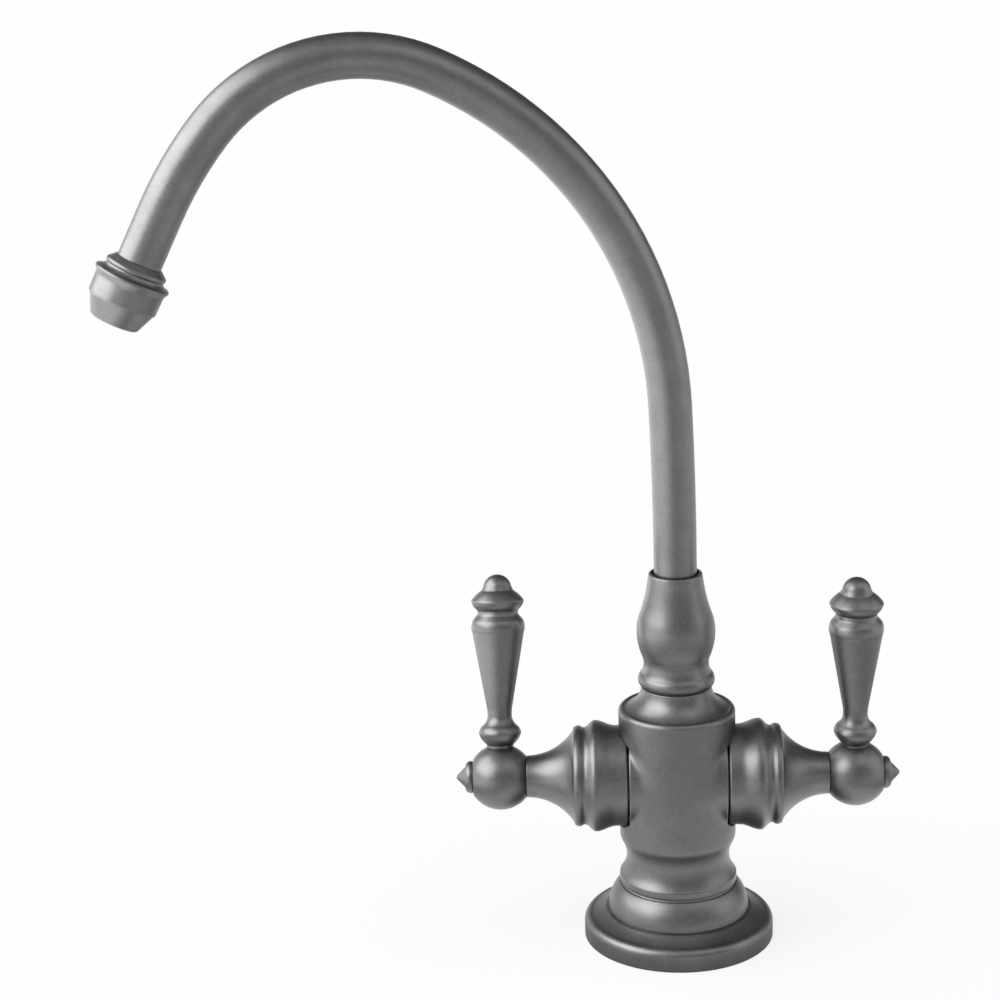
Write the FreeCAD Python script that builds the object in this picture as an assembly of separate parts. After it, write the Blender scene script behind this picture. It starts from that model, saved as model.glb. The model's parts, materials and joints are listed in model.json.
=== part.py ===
import FreeCAD
import Part
import math
import os

from FreeCAD import Vector

# A hot and cold faucet for one deck hole, with a swivelling gooseneck spout and two quarter-turn levers.
# Millimetres. +Z is up, the deck's top is z = 0 and the spout's turning axis is the Z axis.
# +X is the cold side. The hot side is its mirror image. -Y faces the person at the sink.

# Clearances
running_gap = 0.05
fixed_gap = 0.1
thrust_gap = 0.05
free_gap = 0.3

# The deck that the faucet is clamped to, and what clamps it
deck_thickness = 30.0
spigot_radius = 17.0
spigot_depth = 5.0
shank_radius = 14.0
shank_bore_radius = 11.0
shank_in_body = 6.6
shank_spare = 10.0
deck_rubber_radius = 24.0
deck_rubber_height = 3.0
deck_steel_radius = 25.0
deck_steel_height = 2.0
nut_across_flats = 38.0
nut_height = 7.0

# Base flange and the gasket let into its underside
flange_radius = 27.35
flange_side_height = 4.0
flange_rim_rounding = 2.3
flange_land_radius = 22.1
flange_height = 8.4
flange_step = 1.5
gasket_outer_radius = 25.0
gasket_inner_radius = 18.9
gasket_height = 1.6

# Valve body, turned outside
foot_radius = 20.3
foot_swell_radius = 19.35
foot_shoulder_radius = 16.95
foot_height = 7.9
foot_groove_radius = 16.4
foot_groove_height = 1.05
ring_radius = 16.85
ring_rounding = 0.6
ring_height = 2.25
waist_radius = 14.8
waist_rise = 5.3
waist_cove_radius = 9.2
waist_turn = 30.0
barrel_radius = 16.65
body_rim_height = 69.8
lip_width = 1.3
neck_radius = 10.0
cove_rise = 5.7
neck_height = 0.6

# Waterways and the sockets bored in the valve body
inlet_offset = 5.4
inlet_way_radius = 3.0
tail_radius = 4.76
tail_wall = 0.9
tail_in_body = 9.0
mixed_way_radius = 1.2
spout_socket_depth = 21.2
thrust_shoulder_depth = 10.0

# Handle axis: stations along the arm are distances from the faucet's axis
handle_height = 48.85
seat_station = 11.5
boss_radius = 11.8
boss_end_station = 26.0
cartridge_socket_radius = 8.0
cartridge_thread_radius = 9.1
cartridge_thread_length = 4.8

# Bonnet that screws over the boss
bonnet_start_station = 13.9
bonnet_collar_radius = 14.45
bonnet_bead_radius = 15.95
bonnet_bead_station = 23.0
bonnet_ring_radius = 14.2
bonnet_ring_station = 29.2
bonnet_trumpet_radius = 13.2
bonnet_neck_radius = 6.0
bonnet_end_gap = 0.1
bonnet_stem_gap = 0.8

# Ceramic cartridge
shell_radius = 7.3
shell_chamber_radius = 6.4
seal_height = 2.4
seal_bore_radius = 3.8
disc_radius = 6.2
disc_height = 2.1
disc_gap = 0.02
port_outer_radius = 4.8
port_inner_radius = 1.5
driver_height = 1.9
window_width = 5.0
hexagon_across_flats = 19.0
hexagon_height = 3.0
cartridge_neck_radius = 5.9
cartridge_neck_length = 4.2

# Stem
stem_radius = 3.95
stem_square = 5.4
stem_square_length = 8.4
stem_ring_wire_radius = 0.65
clip_thickness = 0.8
clip_radius = 5.4
clip_groove_depth = 0.6

# Ball at the end of the arm, its screw and cap
ball_radius = 9.45
ball_station = 50.7
ball_inner_cut = 7.4
ball_outer_cut = 7.9
cap_radius = 4.6
cap_flange_height = 2.2
cap_cone_radius = 3.1
cap_tip_radius = 0.9
cap_tip_height = 2.65
cap_spigot_radius = 3.5
cap_spigot_length = 1.2
screw_radius = 1.6
screw_head_radius = 3.3
screw_head_height = 2.4
screw_grip = 8.0
screw_drive_across_flats = 2.5
screw_drive_depth = 1.3

# Lever: heights are along the lever from the ball's centre
lever_seat_radius = 3.9
lever_stud_radius = 2.5
lever_stud_length = 4.0
lever_bead_radius = 6.1
lever_bead_height = 12.9
lever_neck_radius = 3.5
lever_neck_height = 18.4
lever_grip_radius = 7.7
lever_grip_height = 44.0
lever_top_radius = 5.85
lever_top_rise = 4.0
finial_disc_radius = 7.6
finial_disc_rise = 2.8
finial_dome_radius = 4.1
finial_dome_rise = 7.1
finial_rise = 10.45
finial_stud_radius = 2.0
finial_stud_length = 7.0
hot_lever_lean = -13.0
cold_lever_lean = 0.0

# Spout nut, a turned vase that the tube swivels in
vase_bead_radius = 10.9
vase_bead_height = 4.2
vase_neck_radius = 9.3
vase_neck_height = 6.2
vase_belly_radius = 11.12
vase_belly_height = 16.2
vase_top_radius = 7.6
vase_height = 33.5
vase_mouth_radius = 6.8
vase_mouth_depth = 1.6
vase_spigot_radius = 9.0
vase_spigot_length = 7.5
thrust_washer_height = 0.6

# Spout tube: a straight riser, then four tangent bends and a straight end
tube_radius = 6.05
tube_wall = 1.0
riser_top_height = 111.5
riser_bow_radius = 1034.0
riser_bow_degrees = 2.55
rising_bend_radius = 109.6
rising_bend_degrees = 62.3
crown_bend_radius = 49.4
crown_bend_degrees = 75.1
falling_bend_radius = 107.0
falling_bend_degrees = 13.4
outlet_run = 13.6
tube_in_outlet = 5.0
spout_swing = 12.0

# Ferrule brazed to the tube's lower end
ferrule_radius = 7.85
ferrule_flange_radius = 8.7
ferrule_flange_height = 1.8
ferrule_length = 10.6
tube_in_ferrule = 5.4
spout_ring_wire_radius = 0.6
spout_ring_count = 2
spout_ring_pitch = 2.5
spout_ring_start = 1.6

# Outlet: heights run with the water from the top of the outlet ring
outlet_ring_radius = 8.25
outlet_ring_slope = 1.4
outlet_ring_height = 2.9
outlet_flare_radius = 10.2
outlet_flare_height = 4.65
outlet_band_radius = 9.45
outlet_band_end_radius = 9.35
outlet_band_height = 11.5
outlet_height = 17.2
outlet_face_radius = 6.5
outlet_mouth_radius = 5.2
outlet_lip_height = 1.6
aerator_thread_radius = 7.8
aerator_thread_length = 4.6
aerator_bore_radius = 6.7
aerator_gasket_height = 0.6
screen_height = 0.5
screen_hole_radius = 0.55
insert_height = 6.0
insert_hole_radius = 0.75
insert_hole_pitch = 2.1

# Supply tails below the deck
tail_straight_below_shank = 2.0
tail_bend_radius = 20.0
tail_bend_angle = 33.0
tail_end_run = 14.0
connector_thread_radius = 7.14
connector_thread_length = 13.0
connector_across_flats = 16.0
connector_hexagon_height = 6.0
connector_stop = 3.0

# Heights and stations that follow from the sizes above
bench_height = body_rim_height + cove_rise + neck_height
spout_socket_floor = bench_height - spout_socket_depth
thrust_shoulder = bench_height - thrust_shoulder_depth
ferrule_bottom = thrust_shoulder + thrust_gap + ferrule_flange_height - ferrule_length
spigot_bottom = bench_height - vase_spigot_length
tube_bottom = ferrule_bottom + ferrule_length - tube_in_ferrule
shank_bottom = -(deck_thickness + deck_rubber_height + deck_steel_height + nut_height + shank_spare)
shell_start = seat_station + seal_height - 0.9
fixed_disc_start = seat_station + seal_height
rotating_disc_start = fixed_disc_start + disc_height + disc_gap
driver_start = rotating_disc_start + disc_height
driver_end = driver_start + driver_height
cartridge_neck_end = boss_end_station + hexagon_height + cartridge_neck_length
clip_start = cartridge_neck_end + thrust_gap
ball_inner_station = ball_station - ball_inner_cut
ball_outer_station = ball_station + ball_outer_cut
bonnet_end_station = ball_inner_station - bonnet_end_gap
lever_top_height = lever_grip_height + lever_top_rise
square_end_station = ball_inner_station + stem_square_length
screw_head_seat = square_end_station + 2.4
mixed_way_height = cartridge_socket_radius - mixed_way_radius / 3


class Section:
    """Half of a turned piece's section: radius along X, height along Z."""

    def __init__(self, radius, height):
        self.here = Vector(radius, 0, height)
        self.first = self.here
        self.edges = []

    def line(self, radius, height):
        """A straight stretch to this point."""
        there = Vector(radius, 0, height)
        self.edges.append(Part.makeLine(self.here, there))
        self.here = there
        return self

    def arc(self, through, to):
        """A round stretch through one (radius, height) to another."""
        middle = Vector(through[0], 0, through[1])
        there = Vector(to[0], 0, to[1])
        self.edges.append(Part.Arc(self.here, middle, there).toShape())
        self.here = there
        return self

    def dome(self, height):
        """A round stretch that meets the Z axis squarely at this height."""
        rise = height - self.here.z
        size = (self.here.x * self.here.x + rise * rise) / (2 * rise)
        centre = height - size
        half = math.atan2(self.here.x, self.here.z - centre) / 2
        return self.arc((size * math.sin(half), centre + size * math.cos(half)), (0, height))

    def turned(self):
        """The solid made by turning the closed outline about Z."""
        self.line(self.first.x, self.first.z)
        face = Part.Face(Part.Wire(self.edges))
        return face.revolve(Vector(0, 0, 0), Vector(0, 0, 1), 360)


def rod(radius, start, end):
    """A round bar on the Z axis between two heights."""
    return Part.makeCylinder(radius, end - start, Vector(0, 0, start))


def ring(outer, inner, start, end):
    """A plain ring on the Z axis between two heights."""
    return rod(outer, start, end).cut(rod(inner, start, end))


def wire_ring(radius, wire_radius, height):
    """A round seal: a torus of this mean radius about the Z axis."""
    return Part.makeTorus(radius, wire_radius, Vector(0, 0, height))


def hexagon(across_flats, start, end):
    """A hexagonal bar on the Z axis, its corners turned off at 30 degrees at both ends."""
    corner = across_flats / math.sqrt(3)
    points = []
    for number in range(7):
        angle = math.radians(60 * number)
        points.append(Vector(corner * math.cos(angle), corner * math.sin(angle), start))
    bar = Part.Face(Part.makePolygon(points)).extrude(Vector(0, 0, end - start))
    flat = across_flats / 2
    drop = (corner - flat) * math.tan(math.radians(30))
    turned = Section(0, start)
    turned.line(flat, start)
    turned.line(corner, start + drop)
    turned.line(corner, end - drop)
    turned.line(flat, end)
    turned.line(0, end)
    return bar.common(turned.turned())


def square_bar(side, start, end):
    """A square bar on the Z axis between two heights."""
    return Part.makeBox(side, side, end - start, Vector(-side / 2, -side / 2, start))


def on_cold_arm(shape):
    """Lay a piece made along Z on the cold arm, so that its heights become stations along +X."""
    laid = shape.copy()
    laid.rotate(Vector(0, 0, 0), Vector(0, 1, 0), 90)
    laid.translate(Vector(0, 0, handle_height))
    return laid


def on_hot_arm(shape):
    """The mirror image of a piece laid on the cold arm."""
    return on_cold_arm(shape).mirror(Vector(0, 0, 0), Vector(1, 0, 0))


def bent_tube(start, bends, first_run, last_run, radius, bore):
    """A tube in the XZ plane: up from its start, through tangent bends towards +X, then straight on.

    A bend with a negative angle turns back towards -X.
    """
    here = Vector(start)
    turn = 0.0
    edges = []
    runs = [("run", first_run, 0)] + [("bend", bend[0], bend[1]) for bend in bends]
    runs.append(("run", last_run, 0))
    for kind, size, degrees in runs:
        along = Vector(math.sin(turn), 0, math.cos(turn))
        if kind == "run":
            there = here + along * size
            edges.append(Part.makeLine(here, there))
        else:
            side = math.copysign(1, degrees)
            inward = Vector(math.cos(turn), 0, -math.sin(turn)) * side
            centre = here + inward * size
            half = turn + math.radians(degrees) / 2
            full = turn + math.radians(degrees)
            middle = centre - Vector(math.cos(half), 0, -math.sin(half)) * side * size
            there = centre - Vector(math.cos(full), 0, -math.sin(full)) * side * size
            edges.append(Part.Arc(here, middle, there).toShape())
            turn = full
        here = there
    path = Part.Wire(edges)
    outside = path.makePipeShell([Part.Wire(Part.makeCircle(radius, start, Vector(0, 0, 1)))], True, True)
    inside = path.makePipeShell([Part.Wire(Part.makeCircle(bore, start, Vector(0, 0, 1)))], True, True)
    return outside.cut(inside), here, turn


def base_flange():
    """Trim ring that hides the deck hole, with a spigot that centres it in the hole."""
    bore = shank_radius + free_gap
    rim_radius = flange_radius - flange_rim_rounding
    rim_height = flange_side_height + flange_rim_rounding
    step_foot = flange_height - flange_step
    outline = Section(bore, -spigot_depth)
    outline.line(spigot_radius, -spigot_depth)
    outline.line(spigot_radius, 0)
    outline.line(gasket_inner_radius - fixed_gap, 0)
    outline.line(gasket_inner_radius - fixed_gap, gasket_height)
    outline.line(gasket_outer_radius + fixed_gap, gasket_height)
    outline.line(gasket_outer_radius + fixed_gap, 0)
    outline.line(flange_radius, 0)
    outline.line(flange_radius, flange_side_height)
    eased = flange_rim_rounding * (1 - math.sqrt(0.5))
    outline.arc((flange_radius - eased, rim_height - eased), (rim_radius, rim_height))
    outline.line(flange_land_radius + flange_step, step_foot)
    outline.arc(
        (flange_land_radius + flange_step * 0.4, step_foot + flange_step * 0.3),
        (flange_land_radius + flange_step * 0.1, step_foot + flange_step * 0.8),
    )
    outline.line(flange_land_radius, flange_height)
    outline.line(bore, flange_height)
    return outline.turned()


def base_gasket():
    """Flat rubber ring that seals the flange to the deck."""
    return ring(gasket_outer_radius, gasket_inner_radius, 0, gasket_height)


def body_outside():
    """The valve body's turned outside: foot, groove, ring, waist, barrel, lip and cove."""
    foot = flange_height
    foot_top = foot + foot_height
    ring_bottom = foot_top + foot_groove_height
    ring_top = ring_bottom + ring_height
    waist = ring_top + waist_rise
    turn = math.radians(waist_turn)
    # The waist is hollow, one arc from the ring to the blend, where the barrel's swell takes over.
    ring_edge = waist_radius + waist_cove_radius - math.sqrt(waist_cove_radius ** 2 - waist_rise ** 2)
    blend_radius = waist_radius + waist_cove_radius * (1 - math.cos(turn))
    blend_height = waist + waist_cove_radius * math.sin(turn)
    swell = (barrel_radius - blend_radius) / (1 - math.cos(turn))
    outline = Section(0, foot)
    outline.line(foot_radius, foot)
    outline.arc((foot_swell_radius, foot + foot_height * 0.56), (foot_shoulder_radius, foot_top))
    outline.line(foot_groove_radius, foot_top + foot_groove_height * 0.1)
    outline.line(foot_groove_radius, ring_bottom - foot_groove_height * 0.2)
    outline.line(ring_radius, ring_bottom)
    outline.line(ring_radius, ring_top - ring_rounding)
    outline.arc(
        (ring_radius - ring_rounding * 0.25, ring_top - ring_rounding * 0.35),
        (ring_edge, ring_top),
    )
    outline.arc((waist_radius, waist), (blend_radius, blend_height))
    outline.arc(
        (
            barrel_radius - swell * (1 - math.cos(turn / 2)),
            blend_height + swell * (math.sin(turn) - math.sin(turn / 2)),
        ),
        (barrel_radius, blend_height + swell * math.sin(turn)),
    )
    outline.line(barrel_radius, body_rim_height - lip_width)
    outline.arc(
        (barrel_radius - lip_width * 0.3, body_rim_height - lip_width * 0.3),
        (barrel_radius - lip_width, body_rim_height),
    )
    outline.line(barrel_radius - lip_width - 0.6, body_rim_height - 0.2)
    outline.arc((neck_radius + 2.0, body_rim_height + 1.7), (neck_radius, body_rim_height + cove_rise))
    outline.line(neck_radius, bench_height)
    outline.line(0, bench_height)
    return outline.turned()


def valve_body():
    """Turned body with two side bosses, the waterways, and sockets for the tails, shank and spout."""
    body = body_outside()
    spot_face_station = bonnet_start_station - thrust_gap
    spot_face = rod(bonnet_collar_radius + free_gap, spot_face_station, barrel_radius + 5)
    boss = rod(boss_radius, spot_face_station, boss_end_station)
    socket = rod(cartridge_socket_radius, seat_station, boss_end_station)
    thread_start = boss_end_station - cartridge_thread_length
    thread = rod(cartridge_thread_radius + fixed_gap, thread_start, boss_end_station)
    port = rod(inlet_way_radius, inlet_offset, seat_station)
    # The mixed water leaves the cartridge's annulus by a way along the socket's upper wall.
    way = rod(mixed_way_radius, tube_radius, driver_end)
    way.translate(Vector(-mixed_way_height, 0, 0))
    body = body.cut([on_cold_arm(spot_face), on_hot_arm(spot_face)])
    body = body.fuse([on_cold_arm(boss), on_hot_arm(boss)])
    cuts = []
    for tool in (socket, thread, port, way):
        cuts.append(on_cold_arm(tool))
        cuts.append(on_hot_arm(tool))
    foot = flange_height
    cuts.append(rod(shank_radius + fixed_gap, foot, foot + shank_in_body))
    tail_socket_top = foot + shank_in_body + tail_in_body
    for side in (-1, 1):
        centre = Vector(side * inlet_offset, 0, 0)
        way_up = rod(inlet_way_radius, foot, handle_height)
        way_up.translate(centre)
        tail_socket = rod(tail_radius + fixed_gap / 2, foot, tail_socket_top)
        tail_socket.translate(centre)
        cuts.append(way_up)
        cuts.append(tail_socket)
    cuts.append(rod(ferrule_radius + running_gap, spout_socket_floor, bench_height))
    cuts.append(rod(vase_spigot_radius + fixed_gap, thrust_shoulder, bench_height))
    return body.cut(cuts).removeSplitter()


def threaded_shank():
    """Hollow shank that screws up into the body and passes through the deck."""
    return ring(shank_radius, shank_bore_radius, shank_bottom, flange_height + shank_in_body)


def deck_washer_rubber():
    """Rubber washer that bears on the deck's underside."""
    top = -deck_thickness
    return ring(deck_rubber_radius, shank_radius + free_gap, top - deck_rubber_height, top)


def deck_washer_steel():
    """Steel washer between the rubber and the nut."""
    top = -deck_thickness - deck_rubber_height
    return ring(deck_steel_radius, shank_radius + free_gap, top - deck_steel_height, top)


def mounting_nut():
    """Hexagonal nut that draws the faucet down on the deck."""
    top = -deck_thickness - deck_rubber_height - deck_steel_height
    nut = hexagon(nut_across_flats, top - nut_height, top)
    return nut.cut(rod(shank_radius + fixed_gap, top - nut_height, top))


def inlet_tail():
    """Cold supply tail: from the body down through the shank, then bent away from its neighbour."""
    top = flange_height + shank_in_body + tail_in_body
    straight = top - shank_bottom + tail_straight_below_shank
    bends = [(tail_bend_radius, tail_bend_angle), (tail_bend_radius, -tail_bend_angle)]
    bore = tail_radius - tail_wall
    tube, end, turn = bent_tube(Vector(0, 0, 0), bends, straight, tail_end_run, tail_radius, bore)
    # Made upwards from the origin, then turned over so that it hangs down from its socket.
    tube.rotate(Vector(0, 0, 0), Vector(1, 0, 0), 180)
    tube.translate(Vector(inlet_offset, 0, top))
    return tube, Vector(end.x + inlet_offset, 0, top - end.z)


def inlet_connector(tail_end):
    """Male compression connector on a tail's lower end."""
    top = tail_end.z + connector_hexagon_height + connector_stop
    hexagon_bottom = top - connector_hexagon_height
    bottom = hexagon_bottom - connector_thread_length
    piece = hexagon(connector_across_flats, hexagon_bottom, top)
    piece = piece.fuse(rod(connector_thread_radius, bottom, hexagon_bottom))
    piece = piece.cut(rod(tail_radius + fixed_gap / 2, tail_end.z, top))
    piece = piece.cut(rod(tail_radius - tail_wall, bottom, tail_end.z))
    piece.translate(Vector(tail_end.x, 0, 0))
    return piece.removeSplitter()


def spout_nut():
    """Vase-shaped nut that screws into the body's neck and holds the spout down."""
    base = bench_height
    top = base + vase_height
    neck = base + vase_neck_height
    belly = base + vase_belly_height
    rise = vase_belly_height - vase_neck_height
    flute = top - belly
    bore = tube_radius + fixed_gap
    outline = Section(bore, spigot_bottom)
    outline.line(vase_spigot_radius, spigot_bottom)
    outline.line(vase_spigot_radius, base)
    outline.line(neck_radius, base)
    outline.line(neck_radius + 0.1, base + 0.3)
    outline.arc((vase_bead_radius, base + vase_bead_height / 2), (neck_radius - 0.1, base + vase_bead_height))
    outline.arc((vase_neck_radius, neck), (vase_neck_radius + 0.12, neck + rise * 0.24))
    outline.arc((vase_belly_radius - 0.28, belly - rise * 0.3), (vase_belly_radius, belly))
    outline.arc(
        (vase_belly_radius - 0.14, belly + flute * 0.14),
        (vase_belly_radius - 0.85, belly + flute * 0.3),
    )
    outline.arc((vase_top_radius + 1.08, belly + flute * 0.61), (vase_top_radius + 0.15, top - 1.3))
    outline.line(vase_top_radius, top - 0.6)
    outline.arc((vase_top_radius - 0.15, top - 0.15), (vase_top_radius - 0.5, top))
    outline.line(vase_mouth_radius, top)
    outline.line(vase_mouth_radius, top - vase_mouth_depth)
    outline.line(bore, top - vase_mouth_depth)
    return outline.turned()


def thrust_washer():
    """Slippery washer between the ferrule's flange and the spout nut."""
    bottom = spigot_bottom - thrust_washer_height
    return ring(ferrule_flange_radius, tube_radius + fixed_gap, bottom, spigot_bottom)


def spout_ring_heights():
    """Heights of the seals on the ferrule."""
    lowest = ferrule_bottom + spout_ring_start
    return [lowest + spout_ring_pitch * number for number in range(spout_ring_count)]


def spout_ferrule():
    """Ferrule brazed to the tube's lower end: bearing, flange and two seal grooves."""
    top = ferrule_bottom + ferrule_length
    ferrule = rod(ferrule_radius, ferrule_bottom, top)
    ferrule = ferrule.fuse(rod(ferrule_flange_radius, top - ferrule_flange_height, top))
    ferrule = ferrule.cut(rod(tube_radius - tube_wall, ferrule_bottom, tube_bottom))
    ferrule = ferrule.cut(rod(tube_radius + running_gap, tube_bottom, top))
    groove = spout_ring_wire_radius + running_gap
    for height in spout_ring_heights():
        floor = ferrule_radius - 2 * groove
        ferrule = ferrule.cut(ring(ferrule_radius + 1, floor, height - groove, height + groove))
    return ferrule.removeSplitter()


def spout_seals():
    """The round seals in the ferrule's grooves."""
    seals = []
    for height in spout_ring_heights():
        seals.append(wire_ring(ferrule_radius - spout_ring_wire_radius, spout_ring_wire_radius, height))
    return Part.makeCompound(seals)


def spout_tube():
    """The bent gooseneck tube, and where and how it ends."""
    start = Vector(0, 0, tube_bottom)
    riser = riser_top_height - tube_bottom
    run = outlet_run + tube_in_outlet
    bends = [
        (riser_bow_radius, riser_bow_degrees),
        (rising_bend_radius, rising_bend_degrees),
        (crown_bend_radius, crown_bend_degrees),
        (falling_bend_radius, falling_bend_degrees),
    ]
    return bent_tube(start, bends, riser, run, tube_radius, tube_radius - tube_wall)


def outlet_ring():
    """Turned fitting brazed to the tube's end, with a collar, a flare and a band."""
    thread_start = outlet_band_height - aerator_thread_length - aerator_gasket_height
    outline = Section(tube_radius + running_gap, 0)
    outline.line(tube_radius + 0.3, 0)
    outline.line(outlet_ring_radius - 0.3, outlet_ring_slope)
    outline.arc(
        (outlet_ring_radius, outlet_ring_slope + 0.4),
        (outlet_ring_radius - 0.1, outlet_ring_height - 0.4),
    )
    outline.line(outlet_ring_radius - 0.35, outlet_ring_height)
    # A cove leads from the collar out to the flare's edge.
    outline.arc(
        (outlet_ring_radius + 0.25, outlet_flare_height - 0.95),
        (outlet_flare_radius - 0.35, outlet_flare_height - 0.4),
    )
    outline.arc(
        (outlet_flare_radius, outlet_flare_height),
        (outlet_flare_radius - 0.2, outlet_flare_height + 0.6),
    )
    outline.arc(
        (outlet_band_radius + 0.15, outlet_flare_height + 1.4),
        (outlet_band_radius, outlet_flare_height + 2.4),
    )
    outline.line(outlet_band_end_radius, outlet_band_height)
    outline.line(aerator_thread_radius + fixed_gap, outlet_band_height)
    outline.line(aerator_thread_radius + fixed_gap, thread_start)
    outline.line(tube_radius - tube_wall, thread_start)
    outline.line(tube_radius - tube_wall, tube_in_outlet)
    outline.line(tube_radius + running_gap, tube_in_outlet)
    return outline.turned()


def aerator_housing():
    """Tapered cup that screws into the outlet ring and carries the aerator."""
    top = outlet_band_height - aerator_thread_length
    lip = outlet_height - outlet_lip_height
    outline = Section(aerator_bore_radius, top)
    outline.line(aerator_thread_radius, top)
    outline.line(aerator_thread_radius, outlet_band_height)
    outline.line(outlet_band_end_radius - 0.25, outlet_band_height)
    outline.line(outlet_face_radius + 0.3, outlet_height - 0.4)
    outline.line(outlet_face_radius, outlet_height)
    outline.line(outlet_mouth_radius, outlet_height)
    outline.line(outlet_mouth_radius, lip)
    outline.line(aerator_bore_radius, lip)
    return outline.turned()


def aerator_gasket():
    """Flat ring between the aerator's housing and the outlet ring's shoulder."""
    bottom = outlet_band_height - aerator_thread_length
    return ring(aerator_thread_radius, tube_radius - tube_wall, bottom - aerator_gasket_height, bottom)


def ring_of_holes(radius, count, hole_radius, start, end):
    """Round holes spaced evenly on a circle about the Z axis."""
    holes = []
    for number in range(count):
        angle = 2 * math.pi * number / count
        hole = rod(hole_radius, start, end)
        hole.translate(Vector(radius * math.cos(angle), radius * math.sin(angle), 0))
        holes.append(hole)
    return holes


def hexagonal_holes(pitch, reach, hole_radius, start, end):
    """Round holes on a triangular grid of this pitch, out to a reach from the Z axis."""
    holes = []
    rows = int(reach / pitch) + 1
    for row in range(-rows, rows + 1):
        for column in range(-2 * rows, 2 * rows + 1):
            x = pitch * (column + row / 2)
            y = pitch * row * math.sqrt(3) / 2
            if math.hypot(x, y) <= reach:
                hole = rod(hole_radius, start, end)
                hole.translate(Vector(x, y, 0))
                holes.append(hole)
    return holes


def aerator_insert():
    """Flow straightener: a plug with a grid of round ways, seen from below in the outlet."""
    end = outlet_height - outlet_lip_height
    start = end - insert_height
    plug = rod(aerator_bore_radius - fixed_gap, start, end)
    reach = outlet_mouth_radius - insert_hole_radius / 2
    return plug.cut(hexagonal_holes(insert_hole_pitch, reach, insert_hole_radius, start, end))


def aerator_screen():
    """Strainer disc on top of the flow straightener."""
    end = outlet_height - outlet_lip_height - insert_height
    start = end - screen_height
    disc = rod(aerator_bore_radius - fixed_gap, start, end)
    holes = [rod(screen_hole_radius, start, end)]
    holes += ring_of_holes(2.0, 6, screen_hole_radius, start, end)
    holes += ring_of_holes(4.2, 12, screen_hole_radius, start, end)
    return disc.cut(holes)


def bonnet():
    """Bell that screws over the boss, with a collar, a bead, a ring edge and a trumpet neck."""
    start = bonnet_start_station
    ring_end = bonnet_ring_station + 0.4
    run = bonnet_end_station - ring_end
    fall = bonnet_trumpet_radius - bonnet_neck_radius
    # The trumpet is one arc from the ring's edge that ends level with the arm.
    trumpet = (run * run + fall * fall) / (2 * fall)
    swing = run / 2
    through = (
        bonnet_neck_radius + trumpet - math.sqrt(trumpet * trumpet - swing * swing),
        bonnet_end_station - swing,
    )
    hollow_end = boss_end_station + hexagon_height + 0.5
    neck_hollow_end = clip_start + clip_thickness + 0.4
    outline = Section(boss_radius + fixed_gap, start)
    outline.line(bonnet_collar_radius - 0.7, start)
    outline.arc((bonnet_collar_radius - 0.2, start + 0.2), (bonnet_collar_radius, start + 0.7))
    outline.line(bonnet_collar_radius - 0.05, start + 4.2)
    outline.arc(
        (bonnet_collar_radius + 0.15, start + 6.3),
        (bonnet_bead_radius - 0.45, bonnet_bead_station - 1.1),
    )
    outline.arc(
        (bonnet_bead_radius, bonnet_bead_station),
        (bonnet_bead_radius - 0.5, bonnet_bead_station + 1.2),
    )
    outline.arc(
        (bonnet_ring_radius + 0.45, bonnet_bead_station + 2.9),
        (bonnet_ring_radius + 0.05, bonnet_ring_station - 1.2),
    )
    outline.line(bonnet_ring_radius, bonnet_ring_station)
    outline.line(bonnet_trumpet_radius, ring_end)
    outline.arc(through, (bonnet_neck_radius, bonnet_end_station))
    outline.line(stem_radius + bonnet_stem_gap, bonnet_end_station)
    outline.line(stem_radius + bonnet_stem_gap, neck_hollow_end)
    outline.line(cartridge_neck_radius + free_gap, neck_hollow_end)
    outline.line(cartridge_neck_radius + free_gap, hollow_end)
    outline.line(boss_radius + fixed_gap, hollow_end)
    return outline.turned()


def cartridge_body():
    """Brass shell of the ceramic cartridge: chamber, side windows, thread, hexagon and neck."""
    thread_start = boss_end_station - cartridge_thread_length
    shell = rod(shell_radius, shell_start, boss_end_station)
    shell = shell.fuse(
        [
            rod(cartridge_thread_radius, thread_start + fixed_gap, boss_end_station),
            hexagon(hexagon_across_flats, boss_end_station, boss_end_station + hexagon_height),
            rod(cartridge_neck_radius, boss_end_station, cartridge_neck_end),
        ]
    )
    corner = Vector(-shell_radius - 1, -window_width / 2, driver_start)
    window = Part.makeBox(2 * shell_radius + 2, window_width, driver_height, corner)
    groove = stem_ring_wire_radius + running_gap
    ring_station = stem_ring_station()
    return shell.cut(
        [
            rod(shell_chamber_radius, shell_start, driver_end + thrust_gap),
            rod(stem_radius + running_gap, shell_start, cartridge_neck_end),
            window,
            ring(stem_radius + 2 * groove, stem_radius, ring_station - groove, ring_station + groove),
        ]
    ).removeSplitter()


def stem_ring_station():
    """Station of the seal between the stem and the cartridge."""
    return boss_end_station + hexagon_height / 2


def cartridge_seal():
    """Rubber seat ring between the fixed disc and the body's seat."""
    return ring(disc_radius, seal_bore_radius, seat_station, fixed_disc_start)


def port_pair(start, end):
    """Two opposite quarter-ring ports, each 84 degrees wide so that closed discs overlap."""
    ports = []
    for turn in (3, 183):
        band = Part.makeCylinder(port_outer_radius, end - start, Vector(0, 0, start), Vector(0, 0, 1), 84)
        band = band.cut(rod(port_inner_radius, start, end))
        band.rotate(Vector(0, 0, 0), Vector(0, 0, 1), turn)
        ports.append(band)
    return ports


def fixed_disc():
    """Ceramic disc that stays still, with two ports."""
    end = fixed_disc_start + disc_height
    return rod(disc_radius, fixed_disc_start, end).cut(port_pair(fixed_disc_start, end))


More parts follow.
